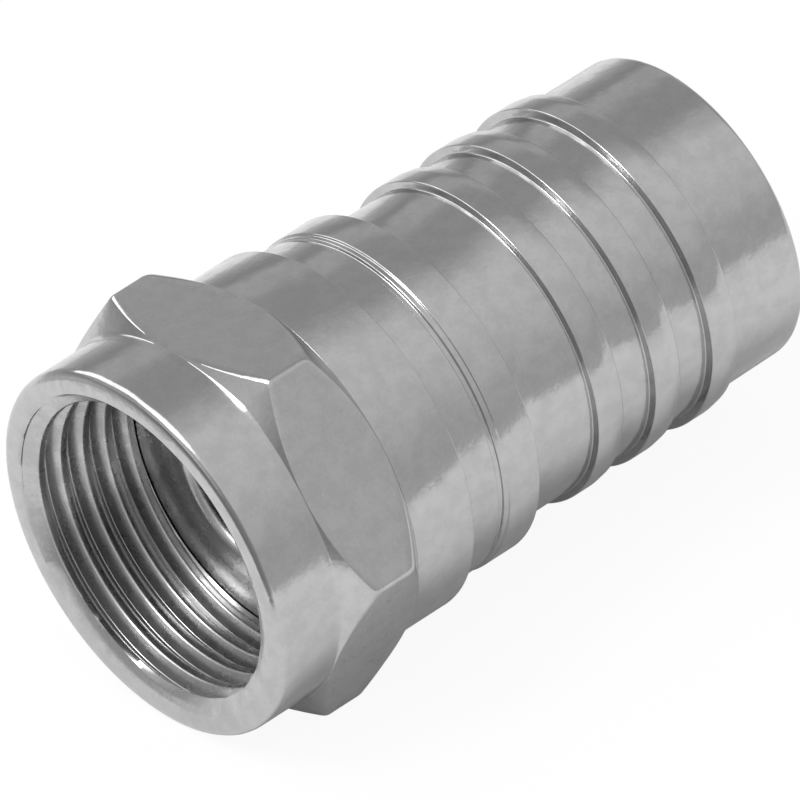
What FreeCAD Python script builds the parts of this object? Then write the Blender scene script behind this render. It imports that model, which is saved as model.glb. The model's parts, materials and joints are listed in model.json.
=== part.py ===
"""Male coaxial plug of the crimp type: a captive coupling nut, a turned post and a ribbed crimp sleeve.

Millimetres. Each body is drawn with its axis on X and the nut's mouth at x = 0, and its placement then lays the
plug on a flat of the hexagon: z = 0 is the surface under it, and the origin is under the middle of its length.
"""
import FreeCAD
import Part
import Sketcher
import math
import os

# Driving dimensions: name, value, what it is
SIZES = [
    ("across_flats", 11.0, "hexagon bar of the nut"),
    ("hexagon_corner_radius", 0.12, "rounding along the hexagon's six corners"),
    ("nut_length", 4.9, "mouth to the nut's rear face"),
    ("skirt_radius", 5.48, "round skirt at the mouth"),
    ("skirt_length", 2.05, "mouth to the foot of the front cone"),
    ("front_cone_length", 0.7, "front cone, skirt to hexagon corner"),
    ("rear_cone_length", 0.83, "rear cone, hexagon corner to rear face"),
    ("rear_face_radius", 5.38, "outer edge of the nut's rear face"),
    ("skirt_edge_chamfer", 0.06, "broken edge of the skirt at the mouth"),
    ("mouth_radius", 4.83, "opening at the mouth"),
    ("lead_in_length", 0.3, "cone from the mouth to the thread"),
    ("thread_minor_radius", 4.38, "crests of the 3/8-32 thread, drawn as a plain bore"),
    ("thread_length", 3.5, "mouth to the last thread"),
    ("recess_radius", 4.85, "relief behind the thread and round the flange"),
    ("shoulder_thickness", 0.55, "shoulder that the flange holds"),
    ("axial_play", 0.06, "gap in front of and behind the shoulder"),
    ("radial_play", 0.05, "running gap between the shoulder and the neck"),
    ("flange_radius", 4.3, "post's flange, which passes the thread"),
    ("flange_thickness", 0.6, "post's flange"),
    ("flange_edge_chamfer", 0.06, "edges of the flange"),
    ("neck_radius", 3.4, "neck and sleeve seat of the post"),
    ("seat_length", 1.65, "length of the neck inside the sleeve"),
    ("seat_chamfer", 0.2, "lead-in at the end of the seat"),
    ("mandrel_radius", 2.75, "thin tube under the cable's braid"),
    ("mandrel_length", 11.2, "end of the seat to the mandrel's tip"),
    ("barb_radius", 3.05, "highest place of the barb"),
    ("barb_length", 0.9, "barb, from its peak to the tip"),
    ("barb_rise", 0.1, "undercut face in front of the barb"),
    ("tip_radius", 2.58, "outer edge of the mandrel's tip"),
    ("post_bore_radius", 2.4, "hole for the cable's dielectric"),
    ("sleeve_length", 14.72, "whole sleeve"),
    ("cavity_radius", 3.95, "inside of the sleeve round the braid"),
    ("cavity_chamfer", 0.18, "lead-in at the sleeve's rear end"),
    ("collar_radius", 5.41, "front collar of the sleeve"),
    ("collar_length", 2.0, "front collar of the sleeve"),
    ("waist_radius", 5.05, "waist behind the collar"),
    ("waist_length", 1.2, "waist behind the collar"),
    ("band_radius", 5.1, "band behind the waist"),
    ("band_length", 1.08, "band behind the waist"),
    ("lip_groove_depth", 0.08, "fine groove before the band"),
    ("lip_groove_width", 0.14, "flat bottom of the fine groove"),
    ("lip_slope", 0.07, "length of each small slope round the groove"),
    ("lip_width", 0.09, "narrow lip between the groove and the band"),
    ("tube_front_radius", 4.65, "tube just behind the band"),
    ("tube_rear_radius", 4.55, "tube at the rear end"),
    ("rib_height", 0.2, "ribs over the tube"),
    ("rib_first", 2.34, "rear of the band to the first rib"),
    ("rib_pitch", 2.06, "one rib to the next"),
    ("rib_slope", 0.12, "steep front slope of a rib"),
    ("rib_crest", 0.5, "flat crest of a rib"),
    ("rib_fall_length", 0.36, "gentle fall behind the crest"),
    ("rib_fall_depth", 0.06, "gentle fall behind the crest"),
    ("rib_root", 0.25, "depth of a rib's root in the wall"),
    ("shoulder_chamfer", 0.05, "broken rear-facing edges of collar and band"),
    ("sleeve_end_round", 0.2, "rounding of the sleeve's rear edge"),
]
RIB_COUNT = 3
TOLERANCE = 1e-4


class Size:
    """A length or ratio that carries both its number and the sheet formula that drives it."""

    def __init__(self, number, formula):
        self.number = number
        self.formula = formula

    def __add__(self, other):
        return Size(self.number + other.number, "(%s + %s)" % (self.formula, other.formula))

    def __sub__(self, other):
        return Size(self.number - other.number, "(%s - %s)" % (self.formula, other.formula))

    def __mul__(self, factor):
        return Size(self.number * factor, "(%s * %.9f)" % (self.formula, factor))


def make_sheet(document):
    """Fill the sheet with the driving dimensions and return them by name."""
    sheet = document.addObject("Spreadsheet::Sheet", "sizes")
    sizes = {}
    for row, (name, value, note) in enumerate(SIZES, start=1):
        sheet.set("A%d" % row, name)
        sheet.set("B%d" % row, "%g" % value)
        sheet.setAlias("B%d" % row, name)
        sheet.set("C%d" % row, note)
        sizes[name] = Size(value, "sizes." + name)
    document.recompute()
    return sizes


def origin_plane(body, role):
    """The body's own origin plane or axis with this role."""
    return next(item for item in body.Origin.OriginFeatures if item.Role == role)


def new_sketch(body, name, role):
    """Empty sketch on one of the body's origin planes."""
    sketch = body.newObject("Sketcher::SketchObject", name)
    sketch.AttachmentSupport = [(origin_plane(body, role), "")]
    sketch.MapMode = "FlatFace"
    return sketch


def bind(sketch, name, index, size):
    """Name a constraint and tie it to the sheet."""
    sketch.renameConstraint(index, name)
    sketch.setExpression("Constraints." + name, size.formula)


def turned_outline(body, name, corners):
    """Closed sketch through corners given as (place along the axis, radius), each tied to the sheet."""
    sketch = new_sketch(body, name, "XY_Plane")
    points = [FreeCAD.Vector(along.number, radius.number, 0) for along, radius in corners]
    for index, start in enumerate(points):
        end = points[(index + 1) % len(points)]
        sketch.addGeometry(Part.LineSegment(start, end), False)
    for index in range(len(points)):
        following = (index + 1) % len(points)
        sketch.addConstraint(Sketcher.Constraint("Coincident", index, 2, following, 1))
    for index, (along, radius) in enumerate(corners):
        if along.number == 0:
            sketch.addConstraint(Sketcher.Constraint("PointOnObject", index, 1, -2))
        else:
            place = sketch.addConstraint(Sketcher.Constraint("DistanceX", -1, 1, index, 1, along.number))
            bind(sketch, "along_%d" % index, place, along)
        if radius.number == 0:
            sketch.addConstraint(Sketcher.Constraint("PointOnObject", index, 1, -1))
        else:
            place = sketch.addConstraint(Sketcher.Constraint("DistanceY", -1, 1, index, 1, radius.number))
            bind(sketch, "radius_%d" % index, place, radius)
    return sketch


def turn(body, name, kind, sketch):
    """Revolution that adds material, or Groove that cuts it, a full turn about the body's axis."""
    feature = body.newObject("PartDesign::" + kind, name)
    feature.Profile = sketch
    feature.ReferenceAxis = (sketch, ["H_Axis"])
    feature.Angle = 360.0
    sketch.Visibility = False
    body.Document.recompute()
    return feature


def ring_edges(shape, place, radius):
    """Names of the circular edges at this place along the axis and with this radius."""
    names = []
    for index, edge in enumerate(shape.Edges, start=1):
        if not isinstance(edge.Curve, Part.Circle):
            continue
        centre = edge.Curve.Center
        on_axis = math.hypot(centre.y, centre.z) < TOLERANCE
        if on_axis and abs(centre.x - place) < TOLERANCE and abs(edge.Curve.Radius - radius) < TOLERANCE:
            names.append("Edge%d" % index)
    return names


def finish_rings(body, name, kind, rings, size):
    """Fillet or Chamfer of circular edges, each given as (place along the axis, radius)."""
    base = body.Tip
    edges = []
    for place, ring_radius in rings:
        edges += ring_edges(base.Shape, place.number, ring_radius.number)
    feature = body.newObject("PartDesign::" + kind, name)
    feature.Base = (base, edges)
    feature.setExpression({"Fillet": "Radius", "Chamfer": "Size"}[kind], size.formula)
    body.Document.recompute()


def new_body(document, name, placement):
    """Body for one real piece, laid in its place on the surface."""
    body = document.addObject("PartDesign::Body", name)
    body.Label = name
    for member, size in placement.items():
        body.setExpression("Placement.Base." + member, size.formula)
    return body


def hexagon_bar(body, sizes):
    """Hexagon bar as long as the nut, one flat downwards, its corners slightly rounded."""
    sketch = new_sketch(body, "hexagon", "YZ_Plane")
    corner = sizes["across_flats"] * (1 / math.sqrt(3))
    circle = Part.Circle(FreeCAD.Vector(0, 0, 0), FreeCAD.Vector(0, 0, 1), corner.number)
    ends = []
    for step in range(6):
        angle = math.radians(60 * step - 120)
        ends.append(FreeCAD.Vector(corner.number * math.cos(angle), corner.number * math.sin(angle), 0))
    for step in range(6):
        sketch.addGeometry(Part.LineSegment(ends[step], ends[(step + 1) % 6]), False)
    rim = sketch.addGeometry(circle, True)
    sketch.addConstraint(Sketcher.Constraint("Coincident", rim, 3, -1, 1))
    for step in range(6):
        sketch.addConstraint(Sketcher.Constraint("Coincident", step, 2, (step + 1) % 6, 1))
        sketch.addConstraint(Sketcher.Constraint("PointOnObject", step, 1, rim))
    for step in range(1, 6):
        sketch.addConstraint(Sketcher.Constraint("Equal", 0, step))
    sketch.addConstraint(Sketcher.Constraint("Horizontal", 0))
    place = sketch.addConstraint(Sketcher.Constraint("Radius", rim, corner.number))
    bind(sketch, "corner", place, corner)
    bar = body.newObject("PartDesign::Pad", "bar")
    bar.Profile = sketch
    bar.setExpression("Length", sizes["nut_length"].formula)
    sketch.Visibility = False
    body.Document.recompute()
    along = [
        "Edge%d" % index
        for index, edge in enumerate(bar.Shape.Edges, start=1)
        if abs(edge.Vertexes[0].X - edge.Vertexes[-1].X) > TOLERANCE
    ]
    corners = body.newObject("PartDesign::Fillet", "rounded_corners")
    corners.Base = (bar, along)
    corners.setExpression("Radius", sizes["hexagon_corner_radius"].formula)
    body.Document.recompute()


def coupling_nut(document, sizes, placement):
    """Nut turned from hexagon bar: skirt, two cones on the hexagon, bore with recess and rear shoulder."""
    body = new_body(document, "coupling_nut", placement)
    hexagon_bar(body, sizes)
    nothing = Size(0, "0")
    skirt = sizes["skirt_radius"]
    corner = sizes["across_flats"] * (1 / math.sqrt(3))
    outside = corner * 1.2
    cone_foot = sizes["skirt_length"]
    cone_top = cone_foot + sizes["front_cone_length"]
    skirt_waste = turned_outline(body, "skirt_waste", [
        (nothing, skirt),
        (cone_foot, skirt),
        (cone_top, corner),
        (cone_top, outside),
        (nothing, outside),
    ])
    turn(body, "skirt", "Groove", skirt_waste)
    rear = sizes["nut_length"]
    rear_waste = turned_outline(body, "rear_cone_waste", [
        (rear - sizes["rear_cone_length"], corner),
        (rear, sizes["rear_face_radius"]),
        (rear, outside),
        (rear - sizes["rear_cone_length"], outside),
    ])
    turn(body, "rear_cone", "Groove", rear_waste)
    shoulder = rear - sizes["shoulder_thickness"]
    minor = sizes["thread_minor_radius"]
    recess = sizes["recess_radius"]
    hole = sizes["neck_radius"] + sizes["radial_play"]
    bore_waste = turned_outline(body, "bore_waste", [
        (nothing, nothing),
        (nothing, sizes["mouth_radius"]),
        (sizes["lead_in_length"], minor),
        (sizes["thread_length"], minor),
        (sizes["thread_length"], recess),
        (shoulder, recess),
        (shoulder, hole),
        (rear, hole),
        (rear, nothing),
    ])
    turn(body, "bore", "Groove", bore_waste)
    finish_rings(body, "skirt_edge", "Chamfer", [(nothing, skirt)], sizes["skirt_edge_chamfer"])
    return body


def post(document, sizes, placement):
    """Turned post: flange inside the nut, neck and seat, mandrel with its barb, bore from end to end."""
    body = new_body(document, "post", placement)
    bore = sizes["post_bore_radius"]
    edge = sizes["flange_edge_chamfer"]
    flange = sizes["flange_radius"]
    neck = sizes["neck_radius"]
    mandrel = sizes["mandrel_radius"]
    flange_rear = sizes["nut_length"] - sizes["shoulder_thickness"] - sizes["axial_play"]
    flange_front = flange_rear - sizes["flange_thickness"]
    seat_end = sizes["nut_length"] + sizes["axial_play"] + sizes["seat_length"]
    seat_lead = seat_end - sizes["seat_chamfer"]
    tip = seat_end + sizes["mandrel_length"]
    peak = tip - sizes["barb_length"]
    profile = turned_outline(body, "post_profile", [
        (flange_front, bore),
        (flange_front, flange - edge),
        (flange_front + edge, flange),
        (flange_rear - edge, flange),
        (flange_rear, flange - edge),
        (flange_rear, neck),
        (seat_lead, neck),
        (seat_end, neck - sizes["seat_chamfer"]),
        (seat_end, mandrel),
        (peak - sizes["barb_rise"], mandrel),
        (peak, sizes["barb_radius"]),
        (tip, sizes["tip_radius"]),
        (tip, bore),
    ])
    turn(body, "post_turned", "Revolution", profile)
    return body


def sleeve_tube(body, sizes):
    """Tube of the sleeve with collar, waist, fine double step and band, without its ribs."""
    front = sizes["nut_length"] + sizes["axial_play"]
    rear = front + sizes["sleeve_length"]
    seat = sizes["neck_radius"]
    seat_end = front + sizes["seat_length"]
    cavity = sizes["cavity_radius"]
    collar_end = front + sizes["collar_length"]
    waist = sizes["waist_radius"]
    band = sizes["band_radius"]
    slope = sizes["lip_slope"]
    groove_front = collar_end + sizes["waist_length"]
    groove_bottom = waist - sizes["lip_groove_depth"]
    lip_front = groove_front + slope + sizes["lip_groove_width"] + slope
    band_foot = lip_front + sizes["lip_width"]
    band_end = band_foot + slope + sizes["band_length"]
    profile = turned_outline(body, "tube_profile", [
        (front, seat),
        (front, sizes["collar_radius"]),
        (collar_end, sizes["collar_radius"]),
        (collar_end, waist),
        (groove_front, waist),
        (groove_front + slope, groove_bottom),
        (lip_front - slope, groove_bottom),
        (lip_front, waist),
        (band_foot, waist),
        (band_foot + slope, band),
        (band_end, band),
        (band_end, sizes["tube_front_radius"]),
        (rear, sizes["tube_rear_radius"]),
        (rear, cavity + sizes["cavity_chamfer"]),
        (rear - sizes["cavity_chamfer"], cavity),
        (seat_end, cavity),
        (seat_end, seat),
    ])
    turn(body, "tube", "Revolution", profile)
    return collar_end, band_end, rear


def sleeve_ribs(body, sizes, band_end):
    """Ring with a steep front and a gently falling crest, repeated along the tube."""
    root = sizes["tube_front_radius"] - sizes["rib_root"]
    crest = sizes["tube_front_radius"] + sizes["rib_height"]
    foot = band_end + sizes["rib_first"]
    crest_front = foot + sizes["rib_slope"]
    crest_end = crest_front + sizes["rib_crest"]
    fall_end = crest_end + sizes["rib_fall_length"]
    profile = turned_outline(body, "rib_profile", [
        (foot, root),
        (foot, sizes["tube_rear_radius"]),
        (crest_front, crest),
        (crest_end, crest),
        (fall_end, crest - sizes["rib_fall_depth"]),
        (fall_end, root),
    ])
    rib = turn(body, "rib", "Revolution", profile)
    pattern = body.newObject("PartDesign::LinearPattern", "ribs")
    pattern.Originals = [rib]
    pattern.Direction = (origin_plane(body, "X_Axis"), [""])
    pattern.Occurrences = RIB_COUNT
    pattern.setExpression("Length", (sizes["rib_pitch"] * (RIB_COUNT - 1)).formula)
    body.Tip = pattern
    body.Document.recompute()


def crimp_sleeve(document, sizes, placement):
    """Ribbed tube pressed on the post's seat behind the nut."""
    body = new_body(document, "crimp_sleeve", placement)
    collar_end, band_end, rear = sleeve_tube(body, sizes)
    sleeve_ribs(body, sizes, band_end)
    shoulders = [(collar_end, sizes["collar_radius"]), (band_end, sizes["band_radius"])]
    finish_rings(body, "broken_shoulders", "Chamfer", shoulders, sizes["shoulder_chamfer"])
    finish_rings(body, "end_round", "Fillet", [(rear, sizes["tube_rear_radius"])], sizes["sleeve_end_round"])
    return body


def check(document, bodies):
    """Stop if a feature failed or a piece isn't one sound solid."""
    for item in document.Objects:
        if "Invalid" in item.State or "Error" in item.State:
            raise RuntimeError("%s failed: %s" % (item.Label, item.State))
    for body in bodies:
        shape = body.Shape
        if shape.isNull() or not shape.isValid() or len(shape.Solids) != 1:
            raise RuntimeError("%s is not one sound solid" % body.Label)
        print("%s %.3f mm3" % (body.Label, shape.Volume))


def main():
    """Build the three pieces, check them and write one file for each."""
    document = FreeCAD.newDocument("coaxial_plug")
    sizes = make_sheet(document)
    overall = sizes["nut_length"] + sizes["axial_play"] + sizes["sleeve_length"]
    placement = {"x": overall * -0.5, "z": sizes["across_flats"] * 0.5}
    bodies = [
        coupling_nut(document, sizes, placement),
        post(document, sizes, placement),
        crimp_sleeve(document, sizes, placement),
    ]
    document.recompute()
    check(document, bodies)
    os.makedirs("parts", exist_ok=True)
    for body in bodies:
        body.Shape.exportStep("parts/%s.step" % body.Label)


main()
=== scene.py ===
"""Male coaxial crimp plug: a nickel-plated hex coupling nut, a flanged post and a ribbed crimp sleeve.

Every piece is shaped in millimetres on a bench, with the plug's axis on X and the nut's mouth at x = 0. It is
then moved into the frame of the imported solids, in metres, where the plug lies on one flat of its hexagon.
"""
import json
import logging
import math
from dataclasses import dataclass, field
from enum import Enum
from typing import Callable

import bmesh
import bpy
import numpy
from mathutils import Matrix, Vector


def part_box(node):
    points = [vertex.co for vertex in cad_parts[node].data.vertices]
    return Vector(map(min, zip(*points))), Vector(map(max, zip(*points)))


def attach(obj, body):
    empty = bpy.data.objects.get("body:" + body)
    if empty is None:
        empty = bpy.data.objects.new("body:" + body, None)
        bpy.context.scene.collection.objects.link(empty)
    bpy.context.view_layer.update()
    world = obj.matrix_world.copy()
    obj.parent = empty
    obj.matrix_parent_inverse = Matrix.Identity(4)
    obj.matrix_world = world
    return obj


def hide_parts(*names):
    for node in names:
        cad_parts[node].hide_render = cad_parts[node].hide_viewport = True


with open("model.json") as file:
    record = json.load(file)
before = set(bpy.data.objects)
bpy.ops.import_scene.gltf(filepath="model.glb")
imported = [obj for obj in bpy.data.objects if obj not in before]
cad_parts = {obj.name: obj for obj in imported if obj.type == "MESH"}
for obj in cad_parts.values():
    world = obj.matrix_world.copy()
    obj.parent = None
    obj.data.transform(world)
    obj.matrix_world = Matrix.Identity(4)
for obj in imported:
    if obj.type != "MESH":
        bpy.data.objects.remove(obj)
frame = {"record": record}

LOG = logging.getLogger("plug")
# One millimetre of the bench in metres, and one inch in millimetres
METRES = 0.001
INCH = 25.4
# Vertices nearer to each other than this many millimetres are one
MERGE = 0.0005
# A face whose normal has less than this along the axis lies level with it
LEVEL = 0.005
# Half of the angle that one flat of the hexagon takes up
HALF_FLAT = math.pi / 6


class Grain(Enum):
    """Which way the tool marks run on a metal surface."""

    TURNED = "rings round the axis"
    DRAWN = "lines along the axis"


class Surface(Enum):
    """Places of a piece's finishes in its list of materials."""

    TURNED = 0
    CUT = 1
    DRAWN = 2


@dataclass(frozen=True)
class Corner:
    """One corner of a turned outline, in millimetres.

    along is its distance behind the mouth, radius its distance from the axis, and rounding how far from the
    corner its rounding starts on both sides.
    """

    along: float
    radius: float
    rounding: float = 0.0


def linear(colour: str) -> tuple[float, float, float, float]:
    """Turns an sRGB hex colour into linear values.

    Args:
        colour: the colour as "#RRGGBB".

    Returns:
        Linear red, green, blue and an alpha of one.
    """
    parts = [int(colour[place:place + 2], 16) / 255 for place in (1, 3, 5)]
    red, green, blue = [
        part / 12.92 if part <= 0.04045 else ((part + 0.055) / 1.055) ** 2.4 for part in parts]
    return red, green, blue, 1.0


def add_node(tree: bpy.types.NodeTree, kind: str, values: dict | None = None, links: dict | None = None,
             **settings: object) -> bpy.types.Node:
    """Adds one node with its settings, socket values and links.

    Args:
        tree: the node tree that takes the node.
        kind: the node's type name.
        values: socket name or number to the value set on it.
        links: socket name or number to the output socket that feeds it.
        settings: the node's own properties.

    Returns:
        The new node.
    """
    node = tree.nodes.new(kind)
    for name, value in settings.items():
        setattr(node, name, value)
    for socket, value in (values or {}).items():
        node.inputs[socket].default_value = value
    for socket, source in (links or {}).items():
        tree.links.new(source, node.inputs[socket])
    return node


def deselect() -> None:
    """Leaves edit mode and deselects every object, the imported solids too."""
    if bpy.context.object and bpy.context.object.mode != "OBJECT":
        bpy.ops.object.mode_set(mode="OBJECT")
    bpy.ops.object.select_all(action="DESELECT")


def choose(piece: bpy.types.Object) -> None:
    """Makes one object the only selected and active one.

    Args:
        piece: the object.
    """
    deselect()
    piece.select_set(True)
    bpy.context.view_layer.objects.active = piece


def select_where(piece: bpy.types.Object, test: Callable[[Vector], bool]) -> None:
    """Selects, in edit mode, the vertices whose place passes a test.

    Args:
        piece: the object in edit mode.
        test: says whether a vertex at this place is wanted.
    """
    mesh = bmesh.from_edit_mesh(piece.data)
    for vertex in mesh.verts:
        vertex.select_set(test(vertex.co))
    mesh.select_flush_mode()
    bmesh.update_edit_mesh(piece.data)


def finish_modifier(piece: bpy.types.Object, kind: str, **settings: object) -> None:
    """Adds a modifier with its settings and applies it.

    Args:
        piece: the object that takes it.
        kind: the modifier's type.
        settings: the modifier's own properties.
    """
    choose(piece)
    modifier = piece.modifiers.new(kind.lower(), kind)
    for name, value in settings.items():
        setattr(modifier, name, value)
    bpy.ops.object.modifier_apply(modifier=modifier.name)


def draw_outline(name: str, corners: list[Corner], closed: bool, segments: int = 4) -> bpy.types.Object:
    """Draws a turned outline as a line of vertices in the XY plane, with its corners rounded.

    Args:
        name: the name of the new object.
        corners: the outline's corners in order.
        closed: whether the last corner joins the first.
        segments: edges in each rounded corner.

    Returns:
        The object, in edit mode.
    """
    deselect()
    bpy.ops.mesh.primitive_plane_add(size=1.0, location=(corners[0].along, corners[0].radius, 0.0))
    outline = bpy.context.object
    outline.name = outline.data.name = name
    bpy.ops.object.transform_apply(location=True, rotation=False, scale=False)
    bpy.ops.object.mode_set(mode="EDIT")
    bpy.ops.mesh.select_all(action="SELECT")
    bpy.ops.mesh.merge(type="CENTER")
    for before, corner in zip(corners, corners[1:]):
        step = (corner.along - before.along, corner.radius - before.radius, 0.0)
        bpy.ops.mesh.extrude_region_move(TRANSFORM_OT_translate={"value": step})
    if closed:
        ends = [Vector((corner.along, corner.radius, 0.0)) for corner in (corners[0], corners[-1])]
        select_where(outline, lambda place: any((place - end).length < MERGE for end in ends))
        bpy.ops.mesh.edge_face_add()
    for rounding in sorted({corner.rounding for corner in corners} - {0.0}):
        rounded = [corner for corner in corners if corner.rounding == rounding]
        places = [Vector((corner.along, corner.radius, 0.0)) for corner in rounded]
        select_where(outline, lambda place: any((place - wanted).length < MERGE for wanted in places))
        bpy.ops.mesh.bevel(offset_type="OFFSET", offset=rounding, segments=segments, affect="VERTICES")
    return outline


def spin_outline(outline: bpy.types.Object, steps: int) -> None:
    """Spins an outline a full turn round the X axis and closes the seam.

    Args:
        outline: the object in edit mode that holds the outline.
        steps: faces in one turn.
    """
    bpy.ops.mesh.select_all(action="SELECT")
    bpy.ops.mesh.spin(steps=steps, angle=math.tau, center=(0.0, 0.0, 0.0), axis=(1.0, 0.0, 0.0))
    bpy.ops.mesh.select_all(action="SELECT")
    bpy.ops.mesh.remove_doubles(threshold=MERGE)
    bpy.ops.mesh.normals_make_consistent(inside=False)
    bpy.ops.object.mode_set(mode="OBJECT")


@dataclass(frozen=True)
class NickelPlate:
    """Nickel electroplate on turned brass: a pale neutral metal, satin rather than mirror bright.

    The marks of the tool stay visible under the thin plate as faint rings or lines, and the plate itself has
    a soft unevenness that breaks the reflections a little. The real marks lie a few hundredths of a
    millimetre apart and the grain of the plate is finer still, so both are drawn as coarse as they need to
    be to show.
    """

    name: str
    colour: str
    dull_colour: str
    roughness: float
    grain: Grain
    mark_spacing_mm: float
    mark_depth_um: float
    mottle_mm: float = 0.5
    mottle_depth_um: float = 9.0
    mottle_detail: float = 2.0
    grain_mm: float = 0.1
    grain_depth_um: float = 1.6
    grain_detail: float = 3.0
    roughness_swing: float = 0.04
    mark_stretch: float = 60.0
    mark_detail: float = 3.0
    mark_roughness: float = 0.6
    noise_low: float = 0.3
    noise_high: float = 0.7
    stain_start: float = 0.6
    stain_full: float = 0.9
    stain_grain_share: float = 0.5

    def material(self) -> bpy.types.Material:
        """Builds the material.

        Returns:
            The node-based material, on Object coordinates.
        """
        material = bpy.data.materials.new(self.name)
        material.use_nodes = True
        tree = material.node_tree
        tree.nodes.clear()
        place = add_node(tree, "ShaderNodeTexCoord").outputs["Object"]
        mottle = self._noise(tree, place, self.mottle_mm, self.mottle_detail)
        grain = self._noise(tree, place, self.grain_mm, self.grain_detail)
        normal = self._bump(tree, self._marks(tree, place), self.mark_depth_um)
        normal = self._bump(tree, grain, self.grain_depth_um, normal)
        normal = self._bump(tree, mottle, self.mottle_depth_um, normal)
        rough = add_node(
            tree, "ShaderNodeMapRange",
            values={"From Min": self.noise_low, "From Max": self.noise_high,
                    "To Min": self.roughness - self.roughness_swing,
                    "To Max": self.roughness + self.roughness_swing},
            links={"Value": mottle})
        both = add_node(
            tree, "ShaderNodeMath", operation="MULTIPLY_ADD", values={1: self.stain_grain_share},
            links={0: grain, 2: mottle})
        stain = add_node(
            tree, "ShaderNodeMapRange", values={"From Min": self.stain_start, "From Max": self.stain_full},
            links={"Value": both.outputs[0]})
        plate = add_node(
            tree, "ShaderNodeMix", data_type="RGBA",
            values={"A": linear(self.colour), "B": linear(self.dull_colour)},
            links={"Factor": stain.outputs["Result"]})
        shader = add_node(
            tree, "ShaderNodeBsdfPrincipled", values={"Metallic": 1.0},
            links={"Base Color": plate.outputs["Result"], "Roughness": rough.outputs["Result"],
                   "Normal": normal})
        add_node(tree, "ShaderNodeOutputMaterial", links={"Surface": shader.outputs["BSDF"]})
        return material

    def _marks(self, tree: bpy.types.NodeTree, place: bpy.types.NodeSocket) -> bpy.types.NodeSocket:
        """Height of the tool marks: noise drawn out round the axis or along it.

        Args:
            tree: the material's tree.
            place: Object coordinates.

        Returns:
            The socket with the height, from 0 to 1.
        """
        fine = 1.0 / (self.mark_spacing_mm * METRES)
        coarse = fine / self.mark_stretch
        scale = (fine, coarse, coarse) if self.grain is Grain.TURNED else (coarse, fine, fine)
        stretched = add_node(tree, "ShaderNodeMapping", values={"Scale": scale}, links={"Vector": place})
        noise = add_node(
            tree, "ShaderNodeTexNoise",
            values={"Scale": 1.0, "Detail": self.mark_detail, "Roughness": self.mark_roughness},
            links={"Vector": stretched.outputs["Vector"]})
        return noise.outputs["Fac"]

    def _noise(self, tree: bpy.types.NodeTree, place: bpy.types.NodeSocket, spacing_mm: float,
               detail: float) -> bpy.types.NodeSocket:
        """Even noise of a real spacing.

        Args:
            tree: the material's tree.
            place: Object coordinates.
            spacing_mm: how far apart its spots lie.
            detail: octaves of finer noise on it.

        Returns:
            The socket with the height, from 0 to 1.
        """
        noise = add_node(
            tree, "ShaderNodeTexNoise", values={"Scale": 1.0 / (spacing_mm * METRES), "Detail": detail},
            links={"Vector": place})
        return noise.outputs["Fac"]

    def _bump(self, tree: bpy.types.NodeTree, height: bpy.types.NodeSocket, depth_um: float,
              below: bpy.types.NodeSocket | None = None) -> bpy.types.NodeSocket:
        """Lays a relief on the surface or on the relief below it.

        Args:
            tree: the material's tree.
            height: the relief's height from 0 to 1.
            depth_um: its real depth in micrometres.
            below: the normal that it lies on, if any.

        Returns:
            The socket with the new normal.
        """
        links = {"Height": height} if below is None else {"Height": height, "Normal": below}
        bump = add_node(
            tree, "ShaderNodeBump", values={"Strength": 1.0, "Distance": depth_um * METRES * METRES},
            links=links)
        return bump.outputs["Normal"]


def mount_radius(name: str) -> float:
    """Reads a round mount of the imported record.

    Args:
        name: the mount's name.

    Returns:
        Its radius in millimetres.
    """
    mounts = {mount["name"]: mount for mount in frame["record"]["mounts"]}
    return mounts[name]["dims"]["r_mm"]


@dataclass
class Bench:
    """Where the bench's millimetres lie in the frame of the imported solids."""

    mouth: float = field(init=False)
    height: float = field(init=False)

    def __post_init__(self) -> None:
        """Reads the mouth's place and the height of the axis from the nut's solid."""
        low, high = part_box("coupling_nut")
        self.mouth = low.x
        self.height = (low.z + high.z) / 2

    def seat(self, piece: bpy.types.Object) -> None:
        """Moves a finished mesh from the bench into the frame and leaves its object at the origin.

        Args:
            piece: the piece on the bench, in millimetres.
        """
        choose(piece)
        piece.scale = (METRES, METRES, METRES)
        piece.location = (self.mouth, 0.0, self.height)
        bpy.ops.object.transform_apply(location=True, rotation=True, scale=True)

    def length_of(self, node: str) -> tuple[float, float]:
        """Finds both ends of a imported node.

        Args:
            node: the node's name.

        Returns:
            Its front and rear end on the bench, in millimetres.
        """
        low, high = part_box(node)
        return (low.x - self.mouth) / METRES, (high.x - self.mouth) / METRES


def shade(piece: bpy.types.Object, angle: float = 35.0, weight: int = 80) -> None:
    """Shades a piece smooth, keeps its sharp edges and lets its large faces lead the normals.

    Args:
        piece: the finished mesh.
        angle: edges sharper than this many degrees stay sharp.
        weight: how strongly large faces lead, 50 being even.
    """
    choose(piece)
    bpy.ops.object.shade_smooth_by_angle(angle=math.radians(angle))
    finish_modifier(piece, "WEIGHTED_NORMAL", keep_sharp=True, weight=weight)


def dress(piece: bpy.types.Object, finishes: list[bpy.types.Material], body: str, node: str) -> None:
    """Gives a piece its materials and ties it to the solid that it stands for.

    Args:
        piece: the finished piece.
        finishes: its materials, by material index.
        body: the body that it moves with.
        node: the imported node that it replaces.
    """
    for finish in finishes:
        piece.data.materials.append(finish)
    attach(piece, body)
    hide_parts(node)
    LOG.info("%s: %d faces for %s on %s", piece.name, len(piece.data.polygons), node, body)


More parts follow.
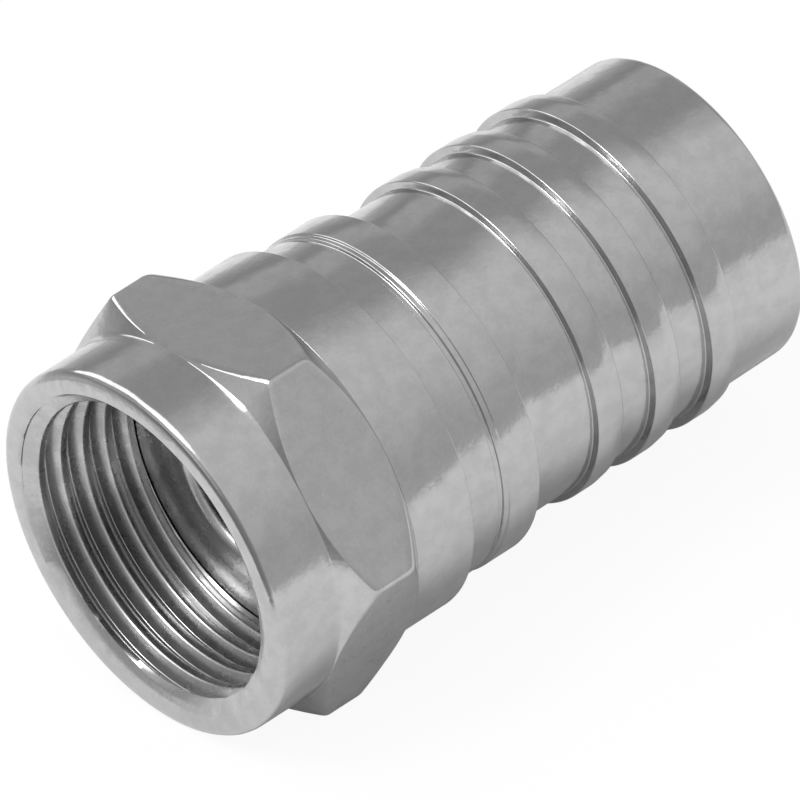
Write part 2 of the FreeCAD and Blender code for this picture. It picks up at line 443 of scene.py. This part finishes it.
@dataclass
class CouplingNut:
    """Nut turned from hexagon bar: round skirt, two cones on the hexagon and a right-hand internal thread."""

    bench: Bench
    skirt_radius: float = 5.48
    skirt_length: float = 2.05
    front_cone_length: float = 0.7
    rear_cone_length: float = 0.83
    rear_face_radius: float = 5.46
    corner_rounding: float = 0.2
    mouth_radius: float = 4.83
    lead_in_length: float = 0.2
    thread_end: float = 3.66
    thread_pitch: float = INCH / 32
    thread_root_radius: float = INCH * 3 / 16
    thread_crest_edge: float = 0.06
    thread_root_flat: float = 1 / 8
    thread_half_angle: float = 30.0
    thread_spare_turns: int = 3
    thread_turns_before: int = 2
    recess_radius: float = 4.85
    shoulder_thickness: float = 0.55
    hole_radius: float = 3.45
    mouth_edge: float = 0.25
    front_crest_edge: float = 0.12
    rear_crest_edge: float = 0.22
    cone_fillet: float = 0.2
    small_edge: float = 0.02
    steps: int = 720
    corner_crowding: float = 0.3
    length: float = field(init=False)
    flat_distance: float = field(init=False)
    crest_radius: float = field(init=False)

    def __post_init__(self) -> None:
        """Reads the nut's length, its hexagon and the radius of its thread from the frame."""
        low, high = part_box("coupling_nut")
        self.length = (high.x - low.x) / METRES
        self.flat_distance = (high.z - low.z) / METRES / 2
        self.crest_radius = mount_radius("coupling_thread")

    @property
    def corner_radius(self) -> float:
        """Distance of the hexagon's sharp corners from the axis."""
        return self.flat_distance / math.cos(HALF_FLAT)

    def build(self) -> bpy.types.Object:
        """Turns the blank, mills the hexagon, cuts the thread and joins them to one closed mesh.

        Returns:
            The nut in the frame, undressed.
        """
        nut = self._blank()
        self._mill_hexagon(nut)
        thread = self._thread()
        choose(nut)
        thread.select_set(True)
        bpy.ops.object.join()
        bpy.ops.object.mode_set(mode="EDIT")
        bpy.ops.mesh.select_all(action="SELECT")
        bpy.ops.mesh.remove_doubles(threshold=MERGE)
        bpy.ops.mesh.normals_make_consistent(inside=False)
        bpy.ops.object.mode_set(mode="OBJECT")
        self._mark_faces(nut)
        self.bench.seat(nut)
        shade(nut)
        return nut

    def _blank(self) -> bpy.types.Object:
        """Turns the round blank from the mouth over the outside to the rear face, the hole and the recess.

        Returns:
            The blank as an open mesh on the bench; the thread closes it.
        """
        cone_end = self.skirt_length + self.front_cone_length
        shoulder = self.length - self.shoulder_thickness
        corners = [
            Corner(0.0, self.mouth_radius),
            Corner(0.0, self.skirt_radius, self.mouth_edge),
            Corner(self.skirt_length, self.skirt_radius, self.cone_fillet),
            Corner(cone_end, self.corner_radius, self.front_crest_edge),
            Corner(self.length - self.rear_cone_length, self.corner_radius, self.rear_crest_edge),
            Corner(self.length, self.rear_face_radius, self.small_edge),
            Corner(self.length, self.hole_radius, self.small_edge),
            Corner(shoulder, self.hole_radius, self.small_edge),
            Corner(shoulder, self.recess_radius),
            Corner(self.thread_end, self.recess_radius),
        ]
        blank = draw_outline("coupling_nut_plated", corners, closed=False)
        spin_outline(blank, self.steps)
        return blank

    def _hexagon_radius(self, angle: float) -> float:
        """Distance of the hexagon's surface from the axis, its corners rounded.

        Args:
            angle: direction round the axis, zero at the middle of a flat, in radians.

        Returns:
            The radius in millimetres.
        """
        off_flat = abs((angle + HALF_FLAT) % (2 * HALF_FLAT) - HALF_FLAT)
        inner = self.flat_distance - self.corner_rounding
        if math.tan(off_flat) <= inner * math.tan(HALF_FLAT) / self.flat_distance:
            return self.flat_distance / math.cos(off_flat)
        off_corner = HALF_FLAT - off_flat
        centre = inner / math.cos(HALF_FLAT)
        return centre * math.cos(off_corner) + math.sqrt(
            self.corner_rounding ** 2 - (centre * math.sin(off_corner)) ** 2)

    def _crowd(self, angle: float) -> float:
        """Moves a column of the mesh towards the nearest corner, whose rounding needs the most faces.

        Args:
            angle: the column's direction round the axis, zero at the middle of a flat, in radians.

        Returns:
            Its new direction.
        """
        corner = math.floor(angle / (2 * HALF_FLAT)) * 2 * HALF_FLAT + HALF_FLAT
        share = (angle - corner) / HALF_FLAT
        crowding = self.corner_crowding + (1 - self.corner_crowding) * share * share
        return corner + HALF_FLAT * share * crowding

    def _mark_faces(self, nut: bpy.types.Object) -> None:
        """Gives the hexagon's flats and the cut inside their own finishes.

        Args:
            nut: the joined nut on the bench.
        """
        for face in nut.data.polygons:
            along, radius = face.center.x, math.hypot(face.center.y, face.center.z)
            level = abs(face.normal.x) < LEVEL
            if radius < self.mouth_radius and along < self.length - self.shoulder_thickness / 2:
                face.material_index = Surface.CUT.value
            elif level and self.skirt_length < along and radius > self.flat_distance - MERGE:
                face.material_index = Surface.DRAWN.value

    def _mill_hexagon(self, blank: bpy.types.Object) -> None:
        """Draws the round blank in to the hexagon, so that each cone ends on the flats in its true curve.

        Args:
            blank: the spun blank on the bench.
        """
        front_crest = self.skirt_length + self.front_cone_length
        rear_crest = self.length - self.rear_cone_length
        middle = (front_crest + rear_crest) / 2
        for vertex in blank.data.vertices:
            along, radius = vertex.co.x, math.hypot(vertex.co.y, vertex.co.z)
            if radius < self.recess_radius + self.small_edge:
                continue
            angle = self._crowd(math.atan2(vertex.co.y, vertex.co.z))
            wall = self._hexagon_radius(angle)
            front = (wall - self.skirt_radius) / (self.corner_radius - self.skirt_radius)
            rear = (wall - self.rear_face_radius) / (self.corner_radius - self.rear_face_radius)
            places = [0.0, self.skirt_length, front_crest, rear_crest, self.length]
            milled = [0.0, self.skirt_length, self.skirt_length + front * self.front_cone_length,
                      self.length - rear * self.rear_cone_length, self.length]
            # Each cone keeps its foot; its rise and its rounded edges shrink towards the middle of a flat
            foot, share = (self.skirt_radius, front) if along < middle else (self.rear_face_radius, rear)
            new_radius = foot + (radius - foot) * share if radius > foot else radius
            vertex.co.x = numpy.interp(along, places, milled)
            vertex.co.y = new_radius * math.sin(angle)
            vertex.co.z = new_radius * math.cos(angle)

    def _thread(self) -> bpy.types.Object:
        """Cuts the right-hand thread: a tooth drawn out in a screw and faced off at the mouth and its end.

        Returns:
            The thread as an open mesh on the bench.
        """
        flank = (self.thread_root_radius - self.crest_radius) * math.tan(math.radians(self.thread_half_angle))
        root = self.thread_pitch * self.thread_root_flat / 2
        corners = [
            Corner(0.0, self.thread_root_radius),
            Corner(root, self.thread_root_radius, self.small_edge),
            Corner(root + flank, self.crest_radius, self.thread_crest_edge),
            Corner(self.thread_pitch - root - flank, self.crest_radius, self.thread_crest_edge),
            Corner(self.thread_pitch - root, self.thread_root_radius, self.small_edge),
            Corner(self.thread_pitch, self.thread_root_radius),
        ]
        tooth = draw_outline("thread", corners, closed=False)
        bpy.ops.object.mode_set(mode="OBJECT")
        profile = sorted((vertex.co.x, vertex.co.y) for vertex in tooth.data.vertices)
        turns = math.ceil(self.thread_end / self.thread_pitch) + self.thread_spare_turns
        finish_modifier(
            tooth, "SCREW", axis="X", angle=math.tau, screw_offset=self.thread_pitch, iterations=turns,
            steps=self.steps, render_steps=self.steps, use_merge_vertices=False)
        places, radii = zip(*profile)
        lead_in = (self.mouth_radius - self.crest_radius) / self.lead_in_length
        for vertex in tooth.data.vertices:
            turn = math.atan2(vertex.co.z, vertex.co.y)
            shift = self.thread_pitch * turn / math.tau
            uncut = vertex.co.x - self.thread_turns_before * self.thread_pitch
            along = min(max(uncut, 0.0), self.thread_end)
            radius = numpy.interp((along - shift) % self.thread_pitch, places, radii)
            radius = min(radius, self.crest_radius + self.thread_end - along)
            radius = max(radius, self.mouth_radius - along * lead_in)
            if uncut > self.thread_end + self.thread_pitch / 2:
                radius = self.recess_radius
            vertex.co = (along, radius * math.cos(turn), radius * math.sin(turn))
        choose(tooth)
        bpy.ops.object.mode_set(mode="EDIT")
        bpy.ops.mesh.select_all(action="SELECT")
        bpy.ops.mesh.remove_doubles(threshold=MERGE)
        bpy.ops.object.mode_set(mode="OBJECT")
        return tooth


@dataclass
class Post:
    """Turned post inside: flange in the nut, neck and seat, mandrel with its barb, bore from end to end."""

    bench: Bench
    flange_radius: float = 4.36
    flange_thickness: float = 0.6
    neck_radius: float = 3.4
    seat_end: float = 6.61
    seat_chamfer: float = 0.2
    mandrel_radius: float = 2.75
    barb_radius: float = 3.05
    barb_length: float = 0.9
    barb_rise: float = 0.1
    tip_radius: float = 2.58
    bore_edge: float = 0.28
    edge: float = 0.06
    steps: int = 256
    bore_radius: float = field(init=False)

    def __post_init__(self) -> None:
        """Reads the bore's radius from the record's mount."""
        self.bore_radius = mount_radius("cable_bore")

    def build(self) -> bpy.types.Object:
        """Turns the post.

        Returns:
            The post in the frame, undressed.
        """
        front, tip = self.bench.length_of("post")
        flange_rear = front + self.flange_thickness
        peak = tip - self.barb_length
        corners = [
            Corner(front, self.bore_radius, self.bore_edge),
            Corner(front, self.flange_radius, self.edge / 2),
            Corner(flange_rear, self.flange_radius, self.edge / 2),
            Corner(flange_rear, self.neck_radius),
            Corner(self.seat_end - self.seat_chamfer, self.neck_radius),
            Corner(self.seat_end, self.neck_radius - self.seat_chamfer),
            Corner(self.seat_end, self.mandrel_radius),
            Corner(peak - self.barb_rise, self.mandrel_radius),
            Corner(peak, self.barb_radius, self.edge / 2),
            Corner(tip, self.tip_radius, self.edge / 2),
            Corner(tip, self.bore_radius, self.edge / 2),
        ]
        post = draw_outline("post_plated", corners, closed=True)
        spin_outline(post, self.steps)
        self.bench.seat(post)
        shade(post)
        return post


@dataclass
class CrimpSleeve:
    """Turned tube behind the nut: collar, waist, fine groove, band, three ribs and a plain rear end."""

    bench: Bench
    seat_radius: float = 3.4
    seat_end: float = 6.61
    cavity_radius: float = 3.95
    cavity_chamfer: float = 0.18
    collar_radius: float = 5.41
    collar_length: float = 2.0
    waist_radius: float = 5.05
    waist_length: float = 1.2
    groove_depth: float = 0.08
    groove_width: float = 0.14
    lip_slope: float = 0.03
    lip_width: float = 0.14
    nut_gap: float = 0.02
    band_radius: float = 5.1
    band_length: float = 1.08
    tube_front_radius: float = 4.65
    tube_rear_radius: float = 4.55
    rib_height: float = 0.2
    rib_first: float = 2.34
    rib_pitch: float = 2.06
    rib_crest: float = 0.6
    rib_edge: float = 0.04
    rib_fall_length: float = 0.36
    rib_fall_depth: float = 0.06
    rib_count: int = 3
    edge: float = 0.05
    fine_edge: float = 0.025
    rear_edge: float = 0.2
    steps: int = 512

    def build(self) -> bpy.types.Object:
        """Turns the sleeve.

        Returns:
            The sleeve in the frame, undressed.
        """
        front = self.bench.length_of("coupling_nut")[1] + self.nut_gap
        rear = self.bench.length_of("crimp_sleeve")[1]
        corners = self._front_corners(front)
        band_end = corners[-1].along
        for rib in range(self.rib_count):
            corners += self._rib(band_end, rear, band_end + self.rib_first + rib * self.rib_pitch)
        corners += [
            Corner(rear, self.tube_rear_radius, self.rear_edge),
            Corner(rear, self.cavity_radius + self.cavity_chamfer, self.fine_edge),
            Corner(rear - self.cavity_chamfer, self.cavity_radius),
            Corner(self.seat_end, self.cavity_radius),
            Corner(self.seat_end, self.seat_radius),
        ]
        sleeve = draw_outline("crimp_sleeve_plated", corners, closed=True)
        spin_outline(sleeve, self.steps)
        self.bench.seat(sleeve)
        shade(sleeve)
        return sleeve

    def _front_corners(self, front: float) -> list[Corner]:
        """Corners from the seat over collar, waist and groove to the foot of the band's rear step.

        Args:
            front: place of the sleeve's front face.

        Returns:
            The corners in order.
        """
        collar_end = self.bench.length_of("crimp_sleeve")[0] + self.collar_length
        groove = collar_end + self.waist_length
        bottom = self.waist_radius - self.groove_depth
        lip = groove + self.groove_width + 2 * self.lip_slope
        band = lip + self.lip_width + self.lip_slope
        band_end = band + self.band_length
        return [
            Corner(front, self.seat_radius),
            Corner(front, self.collar_radius, self.fine_edge),
            Corner(collar_end, self.collar_radius, self.edge),
            Corner(collar_end, self.waist_radius, self.fine_edge),
            Corner(groove, self.waist_radius, self.fine_edge),
            Corner(groove + self.lip_slope, bottom, self.fine_edge),
            Corner(lip - self.lip_slope, bottom, self.fine_edge),
            Corner(lip, self.waist_radius, self.fine_edge),
            Corner(lip + self.lip_width, self.waist_radius, self.fine_edge),
            Corner(band, self.band_radius, self.fine_edge),
            Corner(band_end, self.band_radius, self.edge),
            Corner(band_end, self.tube_front_radius, self.edge),
        ]

    def _rib(self, band_end: float, rear: float, foot: float) -> list[Corner]:
        """Corners of one rib: an upright front, a flat crest that falls gently and a low step behind.

        Args:
            band_end: where the tube starts behind the band.
            rear: the sleeve's rear end.
            foot: where the rib's upright front stands.

        Returns:
            The corners in order.
        """
        crest = self.tube_front_radius + self.rib_height
        crest_end = foot + self.rib_crest
        fall_end = crest_end + self.rib_fall_length

        def tube(along: float) -> float:
            """Radius of the slightly tapered tube at this place."""
            radii = (self.tube_front_radius, self.tube_rear_radius)
            return float(numpy.interp(along, (band_end, rear), radii))

        return [
            Corner(foot, tube(foot), self.rib_edge),
            Corner(foot, crest, self.rib_edge),
            Corner(crest_end, crest, self.edge),
            Corner(fall_end, crest - self.rib_fall_depth, self.edge),
            Corner(fall_end, tube(fall_end), self.fine_edge),
        ]


@dataclass(frozen=True)
class SoftBox:
    """A round soft lamp.

    way points to it from the plug, half_angle is half of how large the plug sees it, in degrees, and level
    is its brightness against white.
    """

    name: str
    way: tuple[float, float, float]
    half_angle: float
    level: float


@dataclass(frozen=True)
class Band:
    """Brightness of the surround at one roll round the plug's axis.

    roll is counted in degrees from straight up towards the front, and level is measured against white.
    """

    roll: float
    level: float


@dataclass
class Studio:
    """White paper, soft light from long screens beside the plug, and a long lens at the photograph's angle.

    A polished round part mirrors its surroundings in stripes along its axis, so the surround is written as
    bands of roll angle, one row for the cable's end and one for the mouth's end, where the room is darker.
    The lamps above and behind draw the bright lines along the front edges.
    """

    bench: Bench
    axis_turn: float = 36.6
    elevation: float = 35.1
    roll: float = 9.5
    picture_slope: float = 32.6
    aim_along_mm: float = 9.105
    aim_across_mm: float = 0.21
    picture_width_mm: float = 21.19
    lens: float = 1500.0
    sensor: float = 36.0
    clip_ratio: float = 10.0
    paper_front_mm: float = 30.0
    paper_back_mm: float = 90.0
    paper_mouth_mm: float = 22.0
    paper_cable_mm: float = 60.0
    paper_colour: str = "#E4E4E4"
    paper_whiteness: float = 0.93
    paper_gloss_share: float = 0.06
    lamp_distance: float = 0.35
    mouth_end_full: float = -0.9
    mouth_end_start: float = -0.62
    cable_end: tuple[Band, ...] = (
        Band(-180, 0.50), Band(-100, 0.70), Band(-74, 0.34), Band(-68, 0.60), Band(-52, 0.60),
        Band(-44, 0.47), Band(-14, 0.47), Band(12, 0.88), Band(34, 0.86), Band(60, 0.76), Band(84, 0.60),
        Band(180, 0.60))
    mouth_end: tuple[Band, ...] = (
        Band(-180, 0.28), Band(-75, 0.28), Band(-45, 0.8), Band(-10, 0.8), Band(40, 0.36), Band(180, 0.28))
    lamps: tuple[SoftBox, ...] = (
        SoftBox("overhead", (-0.4, 0.14, 0.905), 22.0, 1.5),
        SoftBox("key", (-0.5, 0.045, 0.865), 12.0, 10.0),
        SoftBox("behind", (-0.15, 0.62, 0.77), 17.0, 1.5),
        SoftBox("far", (0.05, 0.86, 0.5), 13.0, 1.6))

    def build(self) -> None:
        """Sets up the floor, the light and the camera."""
        self._floor()
        self._world()
        for box in self.lamps:
            self._lamp(box)
        self._camera()
        bpy.context.scene.view_settings.view_transform = "Standard"

    def _view_axes(self) -> tuple[Vector, Vector, Vector]:
        """Works out how the camera stands.

        Returns:
            The right, up and backward directions of the rolled camera.
        """
        turn, rise, roll = (math.radians(angle) for angle in (self.axis_turn, self.elevation, self.roll))
        back = Vector((-math.sin(turn) * math.cos(rise), -math.cos(turn) * math.cos(rise), math.sin(rise)))
        level = Vector((math.cos(turn), -math.sin(turn), 0.0))
        upright = back.cross(level)
        right = math.cos(roll) * level - math.sin(roll) * upright
        return right, back.cross(right), back

    def _camera(self) -> None:
        """Long lens, so that the view is nearly parallel as the photograph's is."""
        right, up, back = self._view_axes()
        slope = math.radians(self.picture_slope)
        across = math.sin(slope) * right - math.cos(slope) * up
        target = Vector((self.bench.mouth + self.aim_along_mm * METRES, 0.0, self.bench.height))
        target += across * self.aim_across_mm * METRES
        distance = self.picture_width_mm * METRES * self.lens / self.sensor
        data = bpy.data.cameras.new("camera")
        data.lens = self.lens
        data.sensor_width = self.sensor
        data.clip_start = distance / self.clip_ratio
        data.clip_end = distance * self.clip_ratio
        camera = bpy.data.objects.new("camera", data)
        bpy.context.scene.collection.objects.link(camera)
        turned = Matrix((right, up, back)).transposed().to_4x4()
        camera.matrix_world = Matrix.Translation(target + back * distance) @ turned
        bpy.context.scene.camera = camera

    def _floor(self) -> None:
        """Sheet of white paper under the plug, whose edges lie outside the picture."""
        deselect()
        bpy.ops.mesh.primitive_plane_add(size=2.0)
        floor = bpy.context.object
        floor.name = "floor"
        half_length = (self.paper_mouth_mm + self.paper_cable_mm) / 2
        half_depth = (self.paper_front_mm + self.paper_back_mm) / 2
        floor.scale = (half_length * METRES, half_depth * METRES, 1.0)
        floor.location = (
            (self.paper_cable_mm - half_length) * METRES, (self.paper_back_mm - half_depth) * METRES,
            -MERGE * METRES)
        bpy.ops.object.transform_apply(location=True, rotation=True, scale=True)
        material = bpy.data.materials.new("white_paper_matt")
        material.use_nodes = True
        tree = material.node_tree
        tree.nodes.clear()
        # Matt paper keeps the plug's shadow; the camera sees it mixed with plain white, and so do the metal's
        # mirrored rays, by a small share that leaves the shadow in the mirror image on the plug's underside
        paper = add_node(tree, "ShaderNodeBsdfDiffuse", values={"Color": linear(self.paper_colour)})
        white = add_node(tree, "ShaderNodeEmission", values={"Color": linear("#FFFFFF"), "Strength": 1.0})
        path = add_node(tree, "ShaderNodeLightPath")
        mirrored = add_node(
            tree, "ShaderNodeMath", operation="ADD",
            links={0: path.outputs["Is Glossy Ray"], 1: path.outputs["Is Transmission Ray"]})
        seen = add_node(
            tree, "ShaderNodeMath", operation="MULTIPLY_ADD", values={1: self.paper_gloss_share},
            links={0: mirrored.outputs[0], 2: path.outputs["Is Camera Ray"]})
        share = add_node(
            tree, "ShaderNodeMath", operation="MULTIPLY", values={1: self.paper_whiteness}, use_clamp=True,
            links={0: seen.outputs[0]})
        mixed = add_node(
            tree, "ShaderNodeMixShader",
            links={0: share.outputs[0], 1: paper.outputs["BSDF"], 2: white.outputs["Emission"]})
        add_node(tree, "ShaderNodeOutputMaterial", links={"Surface": mixed.outputs["Shader"]})
        floor.data.materials.append(material)

    def _world(self) -> None:
        """Soft grey surround for the light and the reflections, white where the camera sees it."""
        world = bpy.data.worlds.new("studio")
        world.use_nodes = True
        bpy.context.scene.world = world
        tree = world.node_tree
        tree.nodes.clear()
        way = add_node(tree, "ShaderNodeTexCoord").outputs["Generated"]
        parts = add_node(tree, "ShaderNodeSeparateXYZ", links={0: way})
        front = add_node(
            tree, "ShaderNodeMath", operation="MULTIPLY", values={1: -1.0}, links={0: parts.outputs["Y"]})
        roll = add_node(
            tree, "ShaderNodeMath", operation="ARCTAN2", links={0: front.outputs[0], 1: parts.outputs["Z"]})
        place = add_node(
            tree, "ShaderNodeMapRange", values={"From Min": -math.pi, "From Max": math.pi},
            links={"Value": roll.outputs[0]})
        end = add_node(
            tree, "ShaderNodeMapRange", interpolation_type="SMOOTHSTEP",
            values={"From Min": self.mouth_end_full, "From Max": self.mouth_end_start},
            links={"Value": parts.outputs["X"]})
        mouth_side, cable_side = (
            self._ramp(tree, bands, place.outputs["Result"]) for bands in (self.mouth_end, self.cable_end))
        mixed_ends = add_node(
            tree, "ShaderNodeMix", data_type="RGBA",
            links={"Factor": end.outputs["Result"], "A": mouth_side, "B": cable_side})
        surround = add_node(
            tree, "ShaderNodeBackground", values={"Strength": 1.0},
            links={"Color": mixed_ends.outputs["Result"]})
        white = add_node(tree, "ShaderNodeBackground", values={"Color": linear("#FFFFFF"), "Strength": 1.0})
        path = add_node(tree, "ShaderNodeLightPath")
        mixed = add_node(
            tree, "ShaderNodeMixShader",
            links={0: path.outputs["Is Camera Ray"], 1: surround.outputs[0], 2: white.outputs[0]})
        add_node(tree, "ShaderNodeOutputWorld", links={"Surface": mixed.outputs["Shader"]})

    def _ramp(self, tree: bpy.types.NodeTree, bands: tuple[Band, ...],
              place: bpy.types.NodeSocket) -> bpy.types.NodeSocket:
        """Turns a row of bands into a ramp.

        Args:
            tree: the world's tree.
            bands: the bands in order of roll, from -180 to 180 degrees.
            place: the roll angle from 0 to 1.

        Returns:
            The socket with the brightness.
        """
        ramp = add_node(tree, "ShaderNodeValToRGB", links={"Fac": place})
        elements = ramp.color_ramp.elements
        elements.remove(elements[1])
        elements[0].position = 0.0
        for band in bands[1:]:
            elements.new((band.roll + 180) / 360)
        for element, band in zip(elements, bands):
            element.color = (band.level, band.level, band.level, 1.0)
        return ramp.outputs["Color"]

    def _lamp(self, box: SoftBox) -> None:
        """Hangs one round soft lamp that faces the plug and that the camera doesn't see.

        Args:
            box: where it hangs, how large it looks and how bright it is.
        """
        radius = self.lamp_distance * math.tan(math.radians(box.half_angle))
        data = bpy.data.lights.new(box.name, "AREA")
        data.shape = "DISK"
        data.size = 2 * radius
        # A lamp's face is as bright as its energy over pi times its area
        data.energy = box.level * math.pi * math.pi * radius * radius
        lamp = bpy.data.objects.new(box.name, data)
        lamp.visible_camera = False
        lamp.location = Vector(box.way).normalized() * self.lamp_distance
        lamp.rotation_mode = "QUATERNION"
        lamp.rotation_quaternion = lamp.location.to_track_quat("Z", "Y")
        bpy.context.scene.collection.objects.link(lamp)


def make_finishes() -> dict[Surface, bpy.types.Material]:
    """Makes the plug's three nickel finishes.

    Returns:
        The material of each kind of surface.
    """
    # Nickel over turned brass: faint rings from the tool, soft mirror
    turned = NickelPlate(
        "nickel_plate_turned", "#BDBDBD", "#B5B5B5", roughness=0.16, grain=Grain.TURNED,
        mark_spacing_mm=0.08, mark_depth_um=1.2)
    # Nickel over the cut thread and the inner faces: duller, because the bath plates a cavity thinly; its
    # colour is a little lighter than the outer plate's, as painted light that lifts the shaded inside
    cut = NickelPlate(
        "nickel_plate_cut", "#C0C0C0", "#B4B4B4", roughness=0.28, grain=Grain.TURNED,
        mark_spacing_mm=0.06, mark_depth_um=0.6, mottle_depth_um=3.0)
    # Nickel over the drawn faces of the hexagon bar: duller, with lines along the bar
    drawn = NickelPlate(
        "nickel_plate_drawn", "#BDBDBD", "#B5B5B5", roughness=0.25, grain=Grain.DRAWN,
        mark_spacing_mm=0.08, mark_depth_um=0.5, mottle_depth_um=4.0)
    return {Surface.TURNED: turned.material(), Surface.CUT: cut.material(), Surface.DRAWN: drawn.material()}


def main() -> None:
    """Builds and dresses each piece, then the studio."""
    logging.basicConfig(level=logging.INFO, format="%(name)s %(message)s")
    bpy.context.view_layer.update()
    bench = Bench()
    finishes = make_finishes()
    nut = CouplingNut(bench).build()
    dress(nut, [finishes[surface] for surface in Surface], "nut", "coupling_nut")
    post = Post(bench).build()
    dress(post, [finishes[Surface.CUT]], "barrel", "post")
    sleeve = CrimpSleeve(bench).build()
    dress(sleeve, [finishes[Surface.TURNED]], "barrel", "crimp_sleeve")
    Studio(bench).build()


if __name__ == "__main__":
    main()
